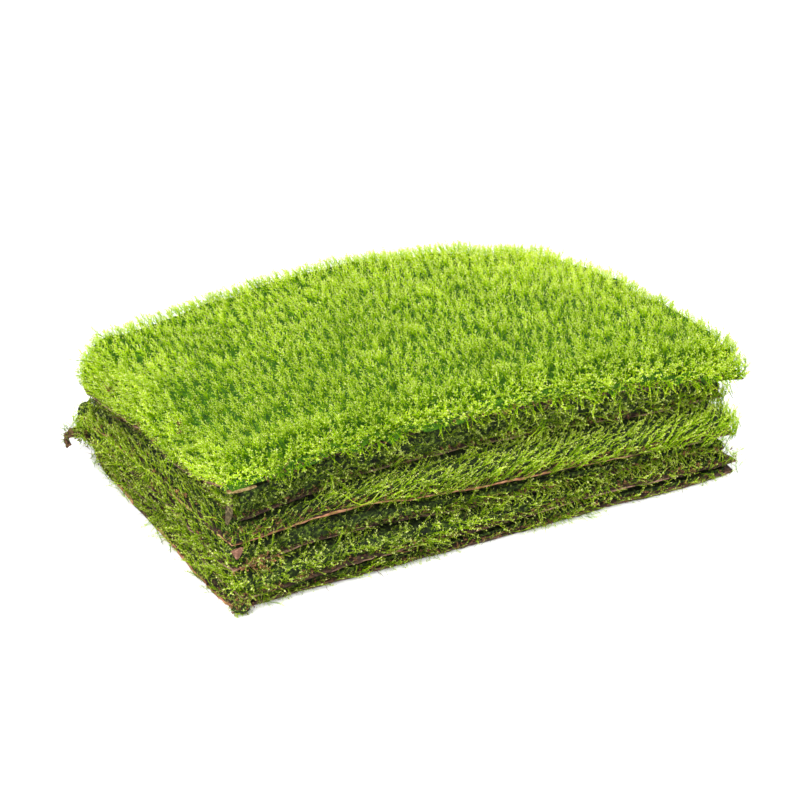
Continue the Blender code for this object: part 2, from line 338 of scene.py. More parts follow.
def shred_template(rng):
    """A few dead leaves that stick together."""
    template = Template()
    for _ in range(SHRED_LEAVES):
        out = unit(rng.normal(0, 1, 3))
        along = unit(np.cross(out, rng.normal(0, 1, 3)))
        foot = rng.normal(0, 0.25, 3) * MM
        add_leaf(template, foot, out, along, rng.uniform(0.6, 1.2) * MM, rng.uniform(0.2, 0.8),
                 rng.normal(0, LEAF_TINT_SPREAD))
    return template.arrays()


def fibre_template(rng):
    """A thin curved root thread."""
    template = Template()
    length = rng.uniform(4, 9) * MM
    path = curve(np.zeros(3), UP, length, SIDEWAYS, rng.uniform(0.3, 1.1))
    add_stem(template, [path(part) for part in (0, 0.33, 0.66, 1)], rng.uniform(0.1, 1, 4), FIBRE_RADIUS)
    return template.arrays()


def plant(name, templates, feet, ways, scales, tints, rng, material, node):
    """One piece of shoots: a template at each foot, along its way. None goes through the floor."""
    spins = rng.uniform(0, 2 * math.pi, len(feet))
    kinds = rng.integers(0, len(templates), len(feet))
    tints = np.clip(tints, *TINT_LIMITS)
    axes = frames_along(ways, spins)
    blocks = []
    offset = 0
    for kind, (points, triangles, uvs) in enumerate(templates):
        chosen = np.flatnonzero(kinds == kind)
        if not len(chosen):
            continue
        scaled = points[None] * scales[chosen][:, None, None]
        placed = np.einsum("nvk,nkj->nvj", scaled, axes[chosen]) + feet[chosen][:, None]
        low = placed[..., 2] < CLEARANCE
        placed[low, 2] = CLEARANCE * np.exp(placed[low, 2] / CLEARANCE - 1)
        map_u = np.clip(tints[chosen][:, None] + uvs[None, :, 0], *MAP_LIMITS)
        map_v = np.broadcast_to(np.clip(uvs[None, :, 1], *MAP_LIMITS), map_u.shape)
        starts = offset + np.arange(len(chosen)) * len(points)
        faces = triangles[None] + starts[:, None, None]
        uv = np.stack([map_u, map_v], axis=-1)
        blocks.append((placed.reshape(-1, 3), faces.reshape(-1, 3), uv.reshape(-1, 2)))
        offset += len(chosen) * len(points)
    piece = mesh_object(name, *(np.concatenate(rows) for rows in zip(*blocks)))
    finish_piece(piece, material, node)


# Where the shoots stand

SCATTER_TRIES = 4
NEIGHBOURS = [(dx, dy, dz) for dx in (-1, 0, 1) for dy in (-1, 0, 1) for dz in (-1, 0, 1)]
INNER_STEP = 4 * MM


def mesh_tree(mesh):
    """A search tree of a mesh, for rays."""
    points = [vert.co.copy() for vert in mesh.vertices]
    return BVHTree.FromPolygons(points, [tuple(face.vertices) for face in mesh.polygons])


def scattered(mesh, spacing, wanted, rng):
    """Points spread evenly over the faces of a mesh, none nearer to another than the spacing.

    wanted says of a point and its face's normal whether it is used.
    """
    mesh.calc_loop_triangles()
    corners = np.array([
        [mesh.vertices[index].co[:] for index in triangle.vertices]
        for triangle in mesh.loop_triangles
    ])
    edge_a = corners[:, 1] - corners[:, 0]
    edge_b = corners[:, 2] - corners[:, 0]
    normals = np.cross(edge_a, edge_b)
    areas = np.linalg.norm(normals, axis=1) / 2
    normals = unit(normals)
    count = int(areas.sum() / spacing ** 2 * SCATTER_TRIES)
    picks = rng.choice(len(areas), count, p=areas / areas.sum())
    a = rng.uniform(0, 1, count)
    b = rng.uniform(0, 1, count)
    over = a + b > 1
    a[over] = 1 - a[over]
    b[over] = 1 - b[over]
    points = corners[picks, 0] + a[:, None] * edge_a[picks] + b[:, None] * edge_b[picks]
    cells = {}
    kept = []

    def crowded(point, cell):
        for dx, dy, dz in NEIGHBOURS:
            for other in cells.get((cell[0] + dx, cell[1] + dy, cell[2] + dz), ()):
                gap = points[other] - point
                if gap @ gap < spacing * spacing:
                    return True
        return False

    for index, point in enumerate(points):
        cell = tuple((point // spacing).astype(int))
        if crowded(point, cell) or not wanted(point, normals[picks[index]]):
            continue
        cells.setdefault(cell, []).append(index)
        kept.append(index)
    return points[kept], normals[picks[kept]]


def outward_from(points):
    """The level way out of the block's outline, from each point."""
    x = points[:, 0] / HALF_X
    y = points[:, 1] / HALF_Y
    out_x = np.sign(x) * np.abs(x) ** SQUARENESS
    out_y = np.sign(y) * np.abs(y) ** SQUARENESS
    return unit(np.stack([out_x, out_y, np.zeros(len(x))], axis=1) + 1e-9)


def layer_heights(points, tree):
    """The heights of a layer's underside and top a little inside each point."""
    inner = points - outward_from(points) * INNER_STEP
    low = np.zeros(len(points))
    high = np.zeros(len(points))
    for index, (x, y, _) in enumerate(inner):
        below, _, _, _ = tree.ray_cast(Vector((x, y, -0.01)), Vector(UP))
        above, _, _, _ = tree.ray_cast(Vector((x, y, 1)), -Vector(UP))
        low[index] = below.z if below else points[index, 2]
        high[index] = above.z if above else points[index, 2]
    return low, np.maximum(high, low + 0.1 * MM)


# Materials

SPECKLE_SCALE = (60, 6, 1)
MOTTLE = 0.5


def new_material(name):
    material = bpy.data.materials.new(name)
    material.use_nodes = True
    nodes = material.node_tree.nodes
    links = material.node_tree.links
    return material, nodes, links, nodes["Principled BSDF"]


def ramp(nodes, stops):
    node = nodes.new("ShaderNodeValToRGB")
    elements = node.color_ramp.elements
    while len(elements) < len(stops):
        elements.new(0.5)
    for element, (position, colour) in zip(elements, stops):
        element.position = position
        element.color = (*colour, 1)
    return node


def blended(nodes, links, share, low, high):
    """The output of a node that goes from the colour of low to the colour of high."""
    node = nodes.new("ShaderNodeMix")
    node.data_type = "RGBA"
    links.new(share, node.inputs["Factor"])
    links.new(low.outputs["Color"], node.inputs["A"])
    links.new(high.outputs["Color"], node.inputs["B"])
    return node.outputs["Result"]


def shoot_material(name, dull, fresh, glow):
    """Colour from a shoot's own map: v runs up the shoot, and u from old, dead green to young green. Low u
    also serves as painted shade, and high u as painted light.

    glow is the share of light that passes through.
    """
    material, nodes, links, shader = new_material(name)
    place = nodes.new("ShaderNodeUVMap")
    place.uv_map = UV_NAME
    split = nodes.new("ShaderNodeSeparateXYZ")
    links.new(place.outputs["UV"], split.inputs["Vector"])
    grain = nodes.new("ShaderNodeMapping")
    grain.inputs["Scale"].default_value = SPECKLE_SCALE
    links.new(place.outputs["UV"], grain.inputs["Vector"])
    speckle = nodes.new("ShaderNodeTexNoise")
    speckle.noise_dimensions = "2D"
    speckle.inputs["Scale"].default_value = 1
    speckle.inputs["Detail"].default_value = 1
    links.new(grain.outputs["Vector"], speckle.inputs["Vector"])
    shade = nodes.new("ShaderNodeMath")
    shade.operation = "MULTIPLY_ADD"
    shade.inputs[1].default_value = MOTTLE
    links.new(speckle.outputs["Fac"], shade.inputs[0])
    centred = nodes.new("ShaderNodeMath")
    centred.operation = "SUBTRACT"
    centred.inputs[1].default_value = MOTTLE / 2
    links.new(split.outputs["Y"], centred.inputs[0])
    links.new(centred.outputs["Value"], shade.inputs[2])
    low = ramp(nodes, dull)
    high = ramp(nodes, fresh)
    links.new(shade.outputs["Value"], low.inputs["Fac"])
    links.new(shade.outputs["Value"], high.inputs["Fac"])
    colour = blended(nodes, links, split.outputs["X"], low, high)
    links.new(colour, shader.inputs["Base Color"])
    shader.inputs["Roughness"].default_value = 0.6
    shader.inputs["Specular IOR Level"].default_value = 0
    if not glow:
        return material
    through = nodes.new("ShaderNodeBsdfTranslucent")
    links.new(colour, through.inputs["Color"])
    both = nodes.new("ShaderNodeMixShader")
    both.inputs["Fac"].default_value = glow
    links.new(shader.outputs["BSDF"], both.inputs[1])
    links.new(through.outputs["BSDF"], both.inputs[2])
    links.new(both.outputs["Shader"], nodes["Material Output"].inputs["Surface"])
    return material


def mottled_material(name, stops, grain, roughness, bump, right_stops=None, meet=None):
    """Colour from noise of the given grain in metres, with a bump of the same noise.

    right_stops takes over between the two values of x in mm that meet gives.
    """
    material, nodes, links, shader = new_material(name)
    place = nodes.new("ShaderNodeTexCoord")
    speckle = nodes.new("ShaderNodeTexNoise")
    speckle.inputs["Scale"].default_value = 1 / grain
    speckle.inputs["Detail"].default_value = 6
    speckle.inputs["Roughness"].default_value = 0.65
    links.new(place.outputs["Object"], speckle.inputs["Vector"])
    colour = ramp(nodes, stops)
    links.new(speckle.outputs["Fac"], colour.inputs["Fac"])
    links.new(colour.outputs["Color"], shader.inputs["Base Color"])
    if right_stops:
        other = ramp(nodes, right_stops)
        links.new(speckle.outputs["Fac"], other.inputs["Fac"])
        split = nodes.new("ShaderNodeSeparateXYZ")
        links.new(place.outputs["Object"], split.inputs["Vector"])
        part = nodes.new("ShaderNodeMapRange")
        part.inputs["From Min"].default_value = meet[0] * MM
        part.inputs["From Max"].default_value = meet[1] * MM
        links.new(split.outputs["X"], part.inputs["Value"])
        both = blended(nodes, links, part.outputs["Result"], colour, other)
        links.new(both, shader.inputs["Base Color"])
    height = nodes.new("ShaderNodeBump")
    height.inputs["Strength"].default_value = 0.8
    height.inputs["Distance"].default_value = bump
    links.new(speckle.outputs["Fac"], height.inputs["Height"])
    links.new(height.outputs["Normal"], shader.inputs["Normal"])
    shader.inputs["Roughness"].default_value = roughness
    shader.inputs["Specular IOR Level"].default_value = 0.2
    return material


# Linear colours of a shoot, from its foot at 0 to its tip at 1. The ramps for low tints hold old, dead
# green and, as painted shade, the dark of recessed and shaded parts. The ramps for high tints hold young
# green and, as painted light, the pale of lit faces.
TOP_DULL_AND_SHADE = (
    (0, (0.024, 0.04, 0.002)),
    (0.3, (0.05, 0.125, 0.001)),
    (0.6, (0.16, 0.325, 0.002)),
    (0.8, (0.28, 0.45, 0.008)),
    (1, (0.62, 0.7, 0.14)),
)
TOP_FRESH_AND_LIT = (
    (0, (0.07, 0.17, 0.001)),
    (0.3, (0.215, 0.505, 0.001)),
    (0.6, (0.545, 0.815, 0.004)),
    (0.8, (0.8, 0.91, 0.036)),
    (1, (1, 0.97, 0.55)),
)
SIDE_DULL_AND_SHADE = (
    (0, (0.026, 0.024, 0.013)),
    (0.3, (0.034, 0.056, 0.01)),
    (0.6, (0.095, 0.165, 0.012)),
    (0.8, (0.2, 0.29, 0.03)),
    (1, (0.48, 0.56, 0.17)),
)
SIDE_FRESH_AND_LIT = (
    (0, (0.075, 0.13, 0.004)),
    (0.3, (0.2, 0.41, 0.004)),
    (0.6, (0.5, 0.75, 0.01)),
    (0.8, (0.76, 0.89, 0.08)),
    (1, (1, 0.98, 0.5)),
)
DARK_SOIL = ((0, (0.012, 0.008, 0.006)), (1, (0.09, 0.05, 0.03)))
PALE_SOIL = ((0, (0.12, 0.06, 0.03)), (1, (0.58, 0.29, 0.125)))

# Linear colours over the noise of a mottled surface
# The beds: the green of the lower leaves, darkened as painted shade so that the gaps between the shoots
# read as shadow. The sides' bed is near black with a little blue, as painted shadow, with lighter green
# specks.
TOP_BED_AND_SHADE = ((0.35, (0.012, 0.04, 0.002)), (0.5, (0.03, 0.098, 0.002)), (0.65, (0.08, 0.21, 0.003)))
SIDE_BED_AND_SHADE = ((0.38, (0.008, 0.011, 0.006)), (0.52, (0.022, 0.038, 0.007)), (0.66, (0.14, 0.22, 0.024)))
SOIL_TOP = ((0.3, (0.016, 0.01, 0.008)), (0.5, (0.05, 0.03, 0.02)), (0.7, (0.16, 0.095, 0.06)))
DARK_EDGE = ((0.3, (0.02, 0.012, 0.01)), (0.5, (0.075, 0.045, 0.032)), (0.7, (0.24, 0.14, 0.095)))
DULL_EDGE = ((0.3, (0.06, 0.034, 0.024)), (0.5, (0.22, 0.125, 0.085)), (0.7, (0.44, 0.28, 0.19)))
TAN_EDGE = ((0.3, (0.13, 0.055, 0.025)), (0.5, (0.33, 0.15, 0.07)), (0.7, (0.56, 0.31, 0.17)))
RED_EDGE = ((0.3, (0.11, 0.045, 0.026)), (0.5, (0.34, 0.14, 0.078)), (0.7, (0.56, 0.3, 0.18)))
LEAF_BROWN = ((0.3, (0.07, 0.032, 0.022)), (0.5, (0.2, 0.095, 0.06)), (0.7, (0.48, 0.27, 0.19)))
FLAKE_BROWN = ((0.3, (0.02, 0.016, 0.008)), (0.5, (0.07, 0.054, 0.025)), (0.7, (0.24, 0.19, 0.085)))
STRIP_BROWN = ((0.3, (0.06, 0.038, 0.014)), (0.5, (0.2, 0.135, 0.05)), (0.7, (0.52, 0.41, 0.18)))
ROOT_BROWN = ((0.3, (0.012, 0.008, 0.007)), (0.5, (0.06, 0.032, 0.02)), (0.7, (0.32, 0.17, 0.09)))

# For each sheet from the top.
# fresh and lit: how fresh its side shoots are, partly painted light and shade. The short sides get more, as
# painted light on the lit left end. Sheets 2 and 4, set back under the sheets above, get less, as painted
# shade (long sides, short sides)
# gap: how many mm of its height, from the top edge down, are set back and darkened as painted shade under
# the mat above (long sides, short sides)
# slant, outward, upward: their way along, out of and up the side (upward at its foot and at its top)
# reach: how far in mm its side stands out beyond its solid (left, front, right)
# hidden: share of the mat under it that drooping shoots hide (long sides left, right, short sides)
# mat: how far in mm that mat stands out (long sides, short sides), and the mm worn off its faces
# edge: colours of that mat's edge at its left and its right, and the x in mm where they meet
SIDES = (
    {"fresh": (0.78, 0.9), "gap": (0, 0), "slant": 0.25, "outward": 0.55, "upward": (0.1, 0.85),
     "reach": (3, 0, 0), "hidden": (0.65, 0.98, 0.1), "mat": (-0.4, 0.9, 0.45),
     "edge": (DULL_EDGE, DARK_EDGE, (-146, -142))},
    {"fresh": (0.37, 0.66), "gap": (3.6, 0.9), "slant": 0.45, "outward": 0.4, "upward": (0.3, 0.55),
     "reach": (0, 0, 0), "hidden": (0.65, 0.85, 0.3), "mat": (-0.6, 0.9, 0.42),
     "edge": (DARK_EDGE, DULL_EDGE, (-60, 0))},
    {"fresh": (0.8, 1.15), "gap": (0.5, 0), "slant": 0.65, "outward": 0.3, "upward": (0.5, 0.65),
     "reach": (1.5, 0, 0), "hidden": (0.22, 0.36, 0.34), "mat": (1.3, 1, 0.38),
     "edge": (TAN_EDGE, DULL_EDGE, (60, 110))},
    {"fresh": (0.52, 0.92), "gap": (2.4, 0.8), "slant": 0.4, "outward": 0.45, "upward": (0.3, 0.55),
     "reach": (3, 0, 1), "hidden": (0.45, 0.9, 0.3), "mat": (-0.4, 0.9, 0.45),
     "edge": (DULL_EDGE, DARK_EDGE, (-60, 0))},
    {"fresh": (0.64, 0.88), "gap": (0.9, 1), "slant": 0.4, "outward": 0.45, "upward": (0.3, 0.55),
     "reach": (3.5, 1, 1.5), "hidden": (0.3, 0.5, 0.42), "mat": (0.6, 0.6, 0.55),
     "edge": (DULL_EDGE, DULL_EDGE, (0, 100))},
    {"fresh": (0.66, 0.96), "gap": (0.2, 0.8), "slant": 0.45, "outward": 0.34, "upward": (0.2, 0.5),
     "reach": (3.5, 3, 2), "hidden": (0.45, 0.45, 0.06), "mat": (-1, 0.5, 0),
     "edge": (RED_EDGE, DARK_EDGE, (-148, -144))},
)

# How much the sides' tint rises towards the right end, and how deep their shoots are set back
RIGHT_TINT_RISE = 0.25
SET_BACK = 2.5 * MM

# Sides that the photograph doesn't show have fewer and larger shoots
FAR_SHARE = 0.6
FAR_SCALE = 1.1
RIGHT_SIDE_START = -75 * MM

# Spacing of the shoots on the top, on its rims, on its sides and on the sides of the other sheets,
# and the share of the near rim that is planted
TOP_SPACING = 3.3 * MM
RIM_SPACING = 2.4 * MM
TOP_SIDE_SPACING = 2.45 * MM
SIDE_SPACING = 2.2 * MM
NEAR_RIM_SHARE = 0.65

# A side shoot is left out where a mat lies this close above
COVER_REACH = 2.5 * MM

# Fringe and crumbs take the places that lie lower than this over a sheet's underside
FRINGE_HEIGHT = 4.5 * MM
CRUMB_HEIGHT = 5 * MM

# The bark strip ends here, and no fringe of the sheets next to it hangs left of that
STRIP_END = -128 * MM

# Noise over the top's shoots: size of the lumps in mm, seed, strength (the rise in mm)
TOP_LEAN = ((45, 1, 0.3), (14, 2, 0.3))
TOP_RISE = ((9, 5, 1.8), (20, 7, 1.5))
TOP_TINT = ((30, 3, 0.22), (9, 6, 0.14))

# Beds: insets at the rim and on top for the top sheet and the others, the shares of the half sizes
# between which the others sink, and the drop and the rise at the top sheet's near and far rims
TOP_BED_INSETS = (2.8 * MM, 7 * MM)
SIDE_BED_INSETS = (4 * MM, 4 * MM)
SINKING = (0.72, 0.92)
NEAR_RIM = (0.82, 0.94)
NEAR_RIM_DROP = 3 * MM
FAR_RIM = (0.88, 1.0)
FAR_RIM_RISE = 4 * MM

# Edges of the mats: angle in radians that tells the rim, length of its pieces, the share of the half
# sizes that stays whole, the tears (length in mm, depth in mm), and the mat with the most crumbs
RIM_ANGLE = 1.0
TEAR_STEP = 2 * MM
MAT_MIDDLE = 0.9
TEARS = ((14, 1.3), (3, 1.0))
CRUMBLY_MAT = 3

# The top sheet swells up at its far left corner
SWELL_PLACE = (-150 * MM, 98 * MM)
SWELL_HEIGHT = 10 * MM
SWELL_WIDTH = 20 * MM
SWELL_LEVELS = (52 * MM, 74 * MM)
BACK_RISE = 1.5 * MM
BACK_START = 0.6

# Long loose shoots that the photograph shows: foot in mm, way, length as a share, tint
LOOSE_SHOOTS = (
    ((66, -95, 67), (-0.8, -0.3, 0.05), 2, 0.9),
    ((50, -95, 66), (-0.75, -0.3, -0.1), 1.7, 0.85),
    ((30, -96, 65), (-0.45, -0.3, -0.75), 1.6, 0.85),
    ((22, -96, 76), (-0.4, -0.35, -0.75), 1.2, 0.9),
    ((12, -95, 70), (-0.35, -0.3, -0.7), 1.4, 0.8),
    ((78, -95, 66), (-0.65, -0.3, -0.5), 1.5, 0.8),
    ((120, -92, 55), (-0.75, -0.3, -0.2), 1.3, 0.8),
    ((144, -90, 50), (-0.65, -0.3, -0.35), 1.3, 0.85),
    ((-62, -98, 58), (0.35, -0.3, 0.4), 1, 0.7),
    ((-100, -100, 52), (0.3, -0.35, 0.6), 1, 0.75),
    ((-95, -98, 62), (-0.35, -0.35, -0.6), 1, 0.8),
    ((-30, -99, 40), (0.5, -0.3, 0.5), 1.3, 0.8),
    ((-48, -100, 38), (-0.4, -0.35, 0.55), 1.1, 0.8),
    ((8, -99, 42), (0.55, -0.3, 0.45), 1.4, 0.85),
    ((-131, -98, 1.5), (0.8, -0.55, 0.02), 0.9, 0.85),
    ((-126, -98, 1), (0.85, -0.5, 0.05), 0.6, 0.75),
    ((53, -101, 1.5), (0.45, -0.85, 0), 0.9, 0.85),
    ((-147, 40, 9), (-1, 0.05, -0.15), 0.6, 0.6),
    ((-147, 31, 8), (-1, -0.1, -0.2), 0.6, 0.65),
    ((-147, 24, 8), (-1, -0.3, -0.2), 0.5, 0.6),
    ((-146, 8, 10), (-0.95, -0.4, 0.05), 0.6, 0.65),
    ((-146, -3, 9), (-0.95, 0.3, -0.2), 1, 0.75),
    ((-146, -6, 8), (-0.95, 0.3, -0.3), 1, 0.8),
    ((-146, -9, 8), (-0.95, 0.15, -0.25), 0.8, 0.75),
    ((-146, -17, 9), (-0.9, -0.1, -0.4), 1, 0.8),
    ((-147, -36, 5), (-0.9, -0.2, 0.1), 0.5, 0.7),
    ((-147, -54, 4), (-0.9, 0.1, -0.1), 0.6, 0.65),
)

# Count of loose shoots at random places, and of the smaller ones beside each listed one
STRAY_COUNT = 80
LOOSE_COPIES = 2

# A bare stalk on the long side, in mm
STALK = ((-90.5, -103.5, 53), (-86.7, -104.5, 48.8), (-82.3, -105, 46), (-76.7, -104.5, 45.6),
         (-72.8, -103.5, 48), (-68.9, -102.5, 51))
STALK_RADIUS = 0.2 * MM

# Brown spots: centre in mm, spread in mm, count of shreds, tint
LITTER = (
    ((-136.5, -101, 26), (6.5, 1, 2.6), 44, 0.8),
    ((-150.5, 47, 61), (1.2, 3, 1.2), 8, 0.3),
    ((-148.5, -40, 76), (1.2, 3, 1.2), 8, 0.3),
    ((-146, -99, 4), (3, 2.5, 2.2), 60, 0.45),
    ((-151, 92, 15), (2.5, 3, 2.5), 26, 0.4),
)

# Lumps that carry tufts at the two left corners: centre in mm, radii in mm, way of the shoots, tint
LUMPS = (
    ((-145.5, -98.5, 3), (4.5, 4.5, 2.6), (-0.3, -0.5, 0.2), 0.5),
    ((-148.0, 92.0, 29.0), (4.5, 4, 5.5), (-0.4, 0.1, 0.2), 1),
    ((-149.0, 92.0, 21.5), (4.5, 4, 4), (-0.4, 0.1, 0.1), 0.95),
    ((-150.5, 93.5, 15.5), (4.5, 3.5, 2.5), (-0.3, 0.1, 0.5), 0.7),
)
LUMP_SPACING = 1.8 * MM

# The leaf and the bits of bark: piece, solid, slot, squeeze, move in mm, roughness in mm, colours
DEBRIS = (
    ("dry_leaf", "dead_leaf", "dead_leaf", (1, 1, 1), (0, 0, 0), 0.25, LEAF_BROWN),
    ("rough_flake", "bark_flake", "bark", (1, 0.8, 1), (0, 0, 0), 0.8, FLAKE_BROWN),
    ("curled_strip", "bark_strip", "bark", (1, 1, 0.42), (0, -0.5, 2.2), 0.5, STRIP_BROWN),
)
DEBRIS_LUMP = 1.6 * MM
ROOT_LUMP = 2.2 * MM
ROOT_DEPTH = 1.3 * MM
ROOT_SPACING = 1.3 * MM


# Beds and mats


def reach_of(out, look):
    """How far a sheet's side stands out beyond its solid, by the way that it faces."""
    left, front, right = look["reach"]
    to_left = np.maximum(-out[:, 0], 0) ** 2
    to_front = np.maximum(-out[:, 1], 0) ** 2
    to_right = np.maximum(out[:, 0], 0) ** 2
    return (to_left * left + to_front * front + to_right * right) * MM


def swollen(node):
    """A copy of the top sheet's mesh, raised at its far left corner and a little along its back."""
    mesh = node.data.copy()
    points = np.array([vert.co[:] for vert in mesh.vertices])
    away = (points[:, 0] - SWELL_PLACE[0]) ** 2 + (points[:, 1] - SWELL_PLACE[1]) ** 2
    rise = SWELL_HEIGHT * np.exp(-away / (2 * SWELL_WIDTH ** 2))
    rise += BACK_RISE * between(points[:, 1] / HALF_Y, BACK_START, 1)
    points[:, 2] += rise * between(points[:, 2], *SWELL_LEVELS)
    mesh.vertices.foreach_set("co", points.ravel())
    mesh.update()
    return mesh


def moss_bed(number, mesh):
    """A copy of a moss solid, drawn in at its sides and lowered on top.

    The sheets under the top one are lowered near their edges only.
    """
    is_top = number == 1
    rim_inset, top_inset = TOP_BED_INSETS if is_top else SIDE_BED_INSETS
    bm = bmesh.new()
    bm.from_mesh(mesh)
    bmesh.ops.remove_doubles(bm, verts=bm.verts, dist=WELD)
    bm.normal_update()
    reach = reach_of(outward_from(np.array([vert.co[:] for vert in bm.verts])), SIDES[number - 1])
    moves = []
    for index, vert in enumerate(bm.verts):
        x = vert.co.x / HALF_X
        y = vert.co.y / HALF_Y
        flat = Vector((vert.normal.x, vert.normal.y, 0))
        inwards = (0.6 * reach[index] - rim_inset) / max(flat.length, 1e-6)
        move = flat * inwards * min(flat.length * 2, 1)
        move.x -= 0.85 * max(vert.co.x - HALF_X, 0)
        if vert.normal.z > 0.2:
            move.z = -top_inset * (1 if is_top else between(max(abs(x), abs(y)), *SINKING))
            if is_top:
                move.z -= NEAR_RIM_DROP * between(-y, *NEAR_RIM)
                move.z += FAR_RIM_RISE * between(max(x, y), *FAR_RIM)
                move.z += 2 * MM * noise.noise(vert.co / (7 * MM))
        moves.append(move)
    for vert, move in zip(bm.verts, moves):
        vert.co += move
    return object_from(bm, f"moss_bed_{number}")


def frayed_mat(number, node, soil_top):
    """A copy of a root mat with a finely torn edge that thins out. The lowest mat stays flat."""
    look = SIDES[number - 1]
    *stand_out, worn = look["mat"]
    bm = bmesh.new()
    bm.from_mesh(node.data)
    bmesh.ops.remove_doubles(bm, verts=bm.verts, dist=WELD)
    rim = [edge for edge in bm.edges if len(edge.link_faces) == 2 and edge.calc_face_angle(0) > RIM_ANGLE]
    for edge in rim:
        cuts = int(edge.calc_length() / TEAR_STEP)
        if cuts > 0:
            bmesh.ops.subdivide_edges(bm, edges=[edge], cuts=cuts)
    bm.normal_update()
    outs = outward_from(np.array([vert.co[:] for vert in bm.verts]))
    shift = Vector((number * 3.1, number * 7.7, 0))
    for vert, out, reach in zip(bm.verts, outs, reach_of(outs, look)):
        if max(abs(vert.co.x) / HALF_X, abs(vert.co.y) / HALF_Y) < MAT_MIDDLE:
            continue
        flat = Vector((vert.co.x, vert.co.y, 0))
        wave = sum(noise.noise(flat / (size * MM) + shift) * depth for size, depth in TEARS)
        vert.co += Vector(out) * ((wave + mix(stand_out, out[0] ** 2)) * MM + reach)
        if number == SHEETS:
            continue
        thin = worn + 0.55 * noise.noise(flat / (8 * MM) - shift)
        vert.co.z += (0.8 * noise.noise(flat / (15 * MM) + shift) - math.copysign(thin, vert.normal.z)) * MM
    bm.normal_update()
    for face in bm.faces:
        face.material_index = 1 if abs(face.normal.z) < 0.7 else 0
    left_stops, *right = look["edge"]
    side = mottled_material(f"mat_edge_{number}", left_stops, 5 * MM, 0.95, 0.4 * MM, *right)
    finish_piece(object_from(bm, f"torn_mat_{number}"), (soil_top, side), node)


# What grows on each sheet


def plant_top(node, mesh, plumes, bushes, material, rng):
    """The plumes of the top, in three pieces, and leafier shoots that close the gaps of its rims."""

    def on_top(point, normal):
        return normal[2] > 0.5

    def on_rim(point, normal):
        return normal[2] > 0.1 and (abs(point[1]) > 0.9 * HALF_Y or point[0] < -0.95 * HALF_X)

    def grow(name, templates, points, normals, spread, scale_range):
        count = len(points)
        x = points[:, 0] / HALF_X
        y = points[:, 1] / HALF_Y
        lean = -0.38 + 0.26 * x + waves(points, TOP_LEAN)
        ways = unit(normals * 0.6 + UP * 0.5 + lean[:, None] * VIEW_RIGHT + jitter(rng, spread, count))
        scales = rng.uniform(*scale_range, count)
        rise = waves(points, TOP_RISE)
        rise += rng.normal(0, 0.6, count) + np.minimum(rng.exponential(0.9, count), 3.5)
        feet = points - ways * (scales * SHOOT_LENGTH)[:, None] + ways * rise[:, None] * MM
        # Tints grow paler towards the back, as painted light for the glare and haze over the back of the
        # top, and a little towards the right; noise and chance vary them
        tints = 0.69 + 0.23 * y + 0.11 * x + waves(points, TOP_TINT) + rng.normal(0, 0.1, count)
        plant(name, templates, feet, ways, scales, tints, rng, material, node)

    points, normals = scattered(mesh, TOP_SPACING, on_top, rng)
    order = np.argsort(points[:, 0])
    for part, chosen in enumerate(np.array_split(order, 3)):
        grow(f"moss_top_{part + 1}", plumes, points[chosen], normals[chosen], 0.13, (0.8, 1.05))
    points, normals = scattered(mesh, RIM_SPACING, on_rim, rng)
    chosen = (points[:, 1] > 0) | (rng.uniform(0, 1, len(points)) < NEAR_RIM_SHARE)
    grow("moss_rim", bushes, points[chosen], normals[chosen], 0.2, (0.6, 0.95))


